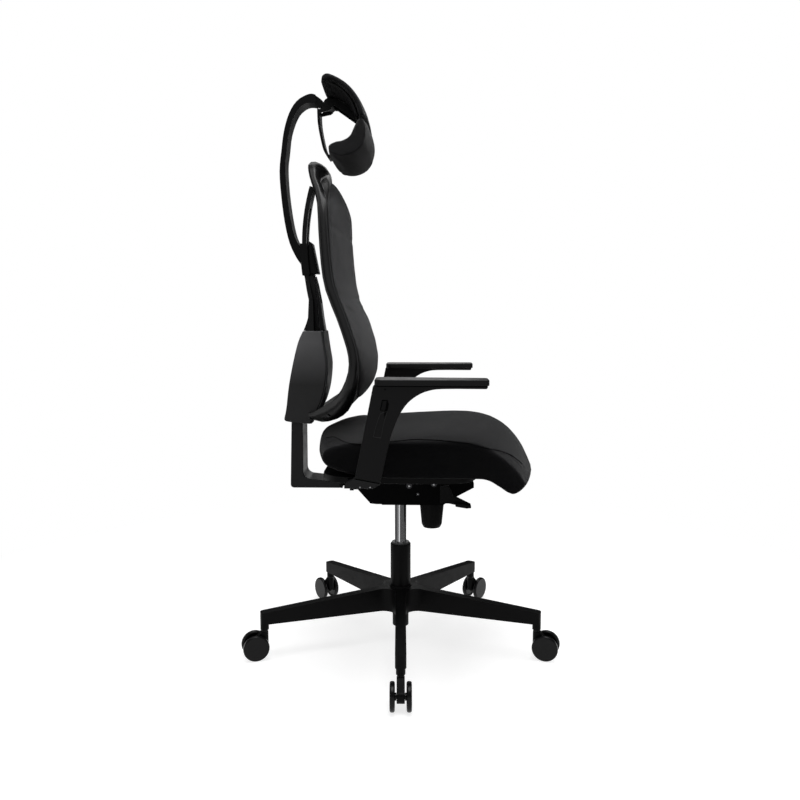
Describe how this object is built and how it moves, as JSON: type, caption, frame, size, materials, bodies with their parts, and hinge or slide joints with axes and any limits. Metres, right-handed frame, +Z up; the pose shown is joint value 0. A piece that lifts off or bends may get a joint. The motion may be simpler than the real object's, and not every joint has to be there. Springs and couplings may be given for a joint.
{
  "type": "office chair",
  "caption": "Ergonomic office chair with a swivelling star base, reclining back, sliding seat, adjustable armrests and a headrest on a curved spine.",
  "frame": {"origin": "on the floor, under the axis of the column", "axes": "+Z up along the column, +X to the front of the chair, +Y to the left of a person who sits in it"},
  "size_m": [0.758, 0.728, 1.337],
  "materials": {
    "nylon": "black moulded nylon, satin",
    "gloss": "black moulded plastic, glossy",
    "coated_steel": "black powder coat, satin",
    "cast": "black painted die casting",
    "chrome": "hard chrome, polished",
    "steel": "bright zinc",
    "bush": "light moulded plastic",
    "upholstery": "black fine woven fabric",
    "soft_pad": "black soft foamed pad, fine grain"
  },
  "bodies": {
    "base": {"base_star": "nylon", "column_tube": "coated_steel", "column_bush": "bush", "thrust_bearing": "steel", "caster_stems": "steel"},
    "rod": {"piston_rod": "steel"},
    "column": {"gas_cylinder": "chrome", "mech_housing": "cast", "tilt_axle": "steel", "seat_axle": "steel", "tilt_springs": "steel", "mech_screws": "steel"},
    "pin": {"release_pin": "steel"},
    "rocker": {"release_rocker": "steel"},
    "height_lever": {"height_lever": "nylon"},
    "tilt_lever": {"tilt_lever": "nylon"},
    "knob": {"tension_knob": "nylon"},
    "back_carrier": {"tilt_arm": "coated_steel", "back_bar": "coated_steel", "back_bar_cap": "nylon"},
    "back": {"back_housing_rear": "gloss", "back_housing_front": "nylon", "spine": "nylon", "back_frame": "nylon", "back_cushion": "upholstery", "back_screws": "steel"},
    "head_clamp": {"headrest_clamp": "nylon", "headrest_stem": "nylon"},
    "head": {"headrest_mount": "nylon", "headrest_shell": "nylon", "headrest_strap": "nylon", "headrest_pad": "upholstery", "neck_roll": "upholstery"},
    "seat_carrier": {"seat_carrier": "coated_steel", "link_pin": "steel"},
    "seat": {"seat_pan": "nylon", "seat_cushion": "upholstery", "arm_brackets": "coated_steel", "arm_screws": "steel"},
    "arm_left": {"arm_sleeve_left": "nylon", "arm_pad_left": "soft_pad"},
    "arm_right": {"arm_sleeve_right": "nylon", "arm_pad_right": "soft_pad"},
    "button_left": {"arm_button_left": "nylon"},
    "button_right": {"arm_button_right": "nylon"},
    "caster_1": {"caster_body_1": "gloss"},
    "wheel_1a": {"caster_wheel_1a": "gloss"},
    "wheel_1b": {"caster_wheel_1b": "gloss"},
    "caster_2": {"caster_body_2": "gloss"},
    "wheel_2a": {"caster_wheel_2a": "gloss"},
    "wheel_2b": {"caster_wheel_2b": "gloss"},
    "caster_3": {"caster_body_3": "gloss"},
    "wheel_3a": {"caster_wheel_3a": "gloss"},
    "wheel_3b": {"caster_wheel_3b": "gloss"},
    "caster_4": {"caster_body_4": "gloss"},
    "wheel_4a": {"caster_wheel_4a": "gloss"},
    "wheel_4b": {"caster_wheel_4b": "gloss"},
    "caster_5": {"caster_body_5": "gloss"},
    "wheel_5a": {"caster_wheel_5a": "gloss"},
    "wheel_5b": {"caster_wheel_5b": "gloss"}
  },
  "joints": [
    {"name": "caster_1_swivel", "type": "hinge", "parent": "base", "child": "caster_1", "pos_m": [0.0097, -0.33886, 0.05], "axis": [0, 0, 1], "continuous": true},
    {"name": "caster_1_wheel_a", "type": "hinge", "parent": "caster_1", "child": "wheel_1a", "pos_m": [0.01035, -0.36145, 0.0307], "axis": [0.9996, 0.0286, 0], "continuous": true},
    {"name": "caster_1_wheel_b", "type": "hinge", "parent": "caster_1", "child": "wheel_1b", "pos_m": [0.01035, -0.36145, 0.0307], "axis": [0.9996, 0.0286, 0], "continuous": true},
    {"name": "caster_2_swivel", "type": "hinge", "parent": "base", "child": "caster_2", "pos_m": [0.32527, -0.09549, 0.05], "axis": [0, 0, 1], "continuous": true},
    {"name": "caster_2_wheel_a", "type": "hinge", "parent": "caster_2", "child": "wheel_2a", "pos_m": [0.34696, -0.10185, 0.0307], "axis": [0.2817, 0.9595, 0], "continuous": true},
    {"name": "caster_2_wheel_b", "type": "hinge", "parent": "caster_2", "child": "wheel_2b", "pos_m": [0.34696, -0.10185, 0.0307], "axis": [0.2817, 0.9595, 0], "continuous": true},
    {"name": "caster_3_swivel", "type": "hinge", "parent": "base", "child": "caster_3", "pos_m": [0.19133, 0.27985, 0.05], "axis": [0, 0, 1], "continuous": true},
    {"name": "caster_3_wheel_a", "type": "hinge", "parent": "caster_3", "child": "wheel_3a", "pos_m": [0.20408, 0.2985, 0.0307], "axis": [-0.8255, 0.5644, 0], "continuous": true},
    {"name": "caster_3_wheel_b", "type": "hinge", "parent": "caster_3", "child": "wheel_3b", "pos_m": [0.20408, 0.2985, 0.0307], "axis": [-0.8255, 0.5644, 0], "continuous": true},
    {"name": "caster_4_swivel", "type": "hinge", "parent": "base", "child": "caster_4", "pos_m": [-0.20703, 0.26844, 0.05], "axis": [0, 0, 1], "continuous": true},
    {"name": "caster_4_wheel_a", "type": "hinge", "parent": "caster_4", "child": "wheel_4a", "pos_m": [-0.22083, 0.28634, 0.0307], "axis": [-0.7919, -0.6107, 0], "continuous": true},
    {"name": "caster_4_wheel_b", "type": "hinge", "parent": "caster_4", "child": "wheel_4b", "pos_m": [-0.22083, 0.28634, 0.0307], "axis": [-0.7919, -0.6107, 0], "continuous": true},
    {"name": "caster_5_swivel", "type": "hinge", "parent": "base", "child": "caster_5", "pos_m": [-0.31928, -0.11394, 0.05], "axis": [0, 0, 1], "continuous": true},
    {"name": "caster_5_wheel_a", "type": "hinge", "parent": "caster_5", "child": "wheel_5a", "pos_m": [-0.34056, -0.12154, 0.0307], "axis": [0.3361, -0.9418, 0], "continuous": true},
    {"name": "caster_5_wheel_b", "type": "hinge", "parent": "caster_5", "child": "wheel_5b", "pos_m": [-0.34056, -0.12154, 0.0307], "axis": [0.3361, -0.9418, 0], "continuous": true},
    {"name": "swivel", "type": "hinge", "parent": "base", "child": "rod", "pos_m": [0, 0, 0.1], "axis": [0, 0, 1], "continuous": true},
    {"name": "lift", "type": "slide", "parent": "rod", "child": "column", "axis": [0, 0, 1], "range_m": [-0.09, 0.02]},
    {"name": "height_lever_turn", "type": "hinge", "parent": "column", "child": "height_lever", "pos_m": [0.104, 0, 0.386], "axis": [0, -1, 0], "range_deg": [0, 10], "stiffness_Nm_per_rad": 0.6, "springref_deg": -20.05},
    {"name": "release_rocker_turn", "type": "hinge", "parent": "column", "child": "rocker", "pos_m": [0.06, 0, 0.3934], "axis": [0, -1, 0], "range_deg": [0, 2.5]},
    {"name": "release_pin_push", "type": "slide", "parent": "column", "child": "pin", "axis": [0, 0, -1], "range_m": [0, 0.003]},
    {"name": "tilt_lever_turn", "type": "hinge", "parent": "column", "child": "tilt_lever", "pos_m": [0.056, 0, 0.378], "axis": [0, -1, 0], "range_deg": [0, 15]},
    {"name": "tension_turn", "type": "hinge", "parent": "column", "child": "knob", "pos_m": [0.077, 0, 0.32], "axis": [0, 0, 1], "range_deg": [0, 1800]},
    {"name": "back_tilt", "type": "hinge", "parent": "column", "child": "back_carrier", "pos_m": [0.022, 0, 0.405], "axis": [0, -1, 0], "range_deg": [0, 20], "stiffness_Nm_per_rad": 60, "springref_deg": -40.11},
    {"name": "seat_tilt", "type": "hinge", "parent": "column", "child": "seat_carrier", "pos_m": [0.081, 0, 0.41], "axis": [0, -1, 0], "range_deg": [0, 10]},
    {"name": "seat_depth", "type": "slide", "parent": "seat_carrier", "child": "seat", "axis": [1, 0, 0], "range_m": [0, 0.05]},
    {"name": "back_height", "type": "slide", "parent": "back_carrier", "child": "back", "axis": [0, 0, 1], "range_m": [0, 0.07]},
    {"name": "headrest_height", "type": "hinge", "parent": "back", "child": "head_clamp", "pos_m": [0.272, 0, 0.971], "axis": [0, 1, 0], "range_deg": [0, 6.5]},
    {"name": "headrest_tilt", "type": "hinge", "parent": "head_clamp", "child": "head", "pos_m": [-0.166, 0, 1.297], "axis": [0, -1, 0], "range_deg": [-3, 20]},
    {"name": "arm_left_height", "type": "slide", "parent": "seat", "child": "arm_left", "axis": [0.1908, 0, 0.9816], "range_m": [0, 0.09]},
    {"name": "arm_left_button", "type": "slide", "parent": "arm_left", "child": "button_left", "axis": [0, -1, 0], "range_m": [0, 0.003], "stiffness_N_per_m": 500, "springref_m": -0.001},
    {"name": "arm_right_height", "type": "slide", "parent": "seat", "child": "arm_right", "axis": [0.1908, 0, 0.9816], "range_m": [0, 0.09]},
    {"name": "arm_right_button", "type": "slide", "parent": "arm_right", "child": "button_right", "axis": [0, 1, 0], "range_m": [0, 0.003], "stiffness_N_per_m": 500, "springref_m": -0.001}
  ],
  "couplings": [
    {"joint": "seat_tilt", "follows": "back_tilt", "ratio": 0.5},
    {"joint": "release_rocker_turn", "follows": "height_lever_turn", "ratio": 0.22},
    {"joint": "release_pin_push", "follows": "height_lever_turn", "m_per_rad": 0.0132}
  ]
}
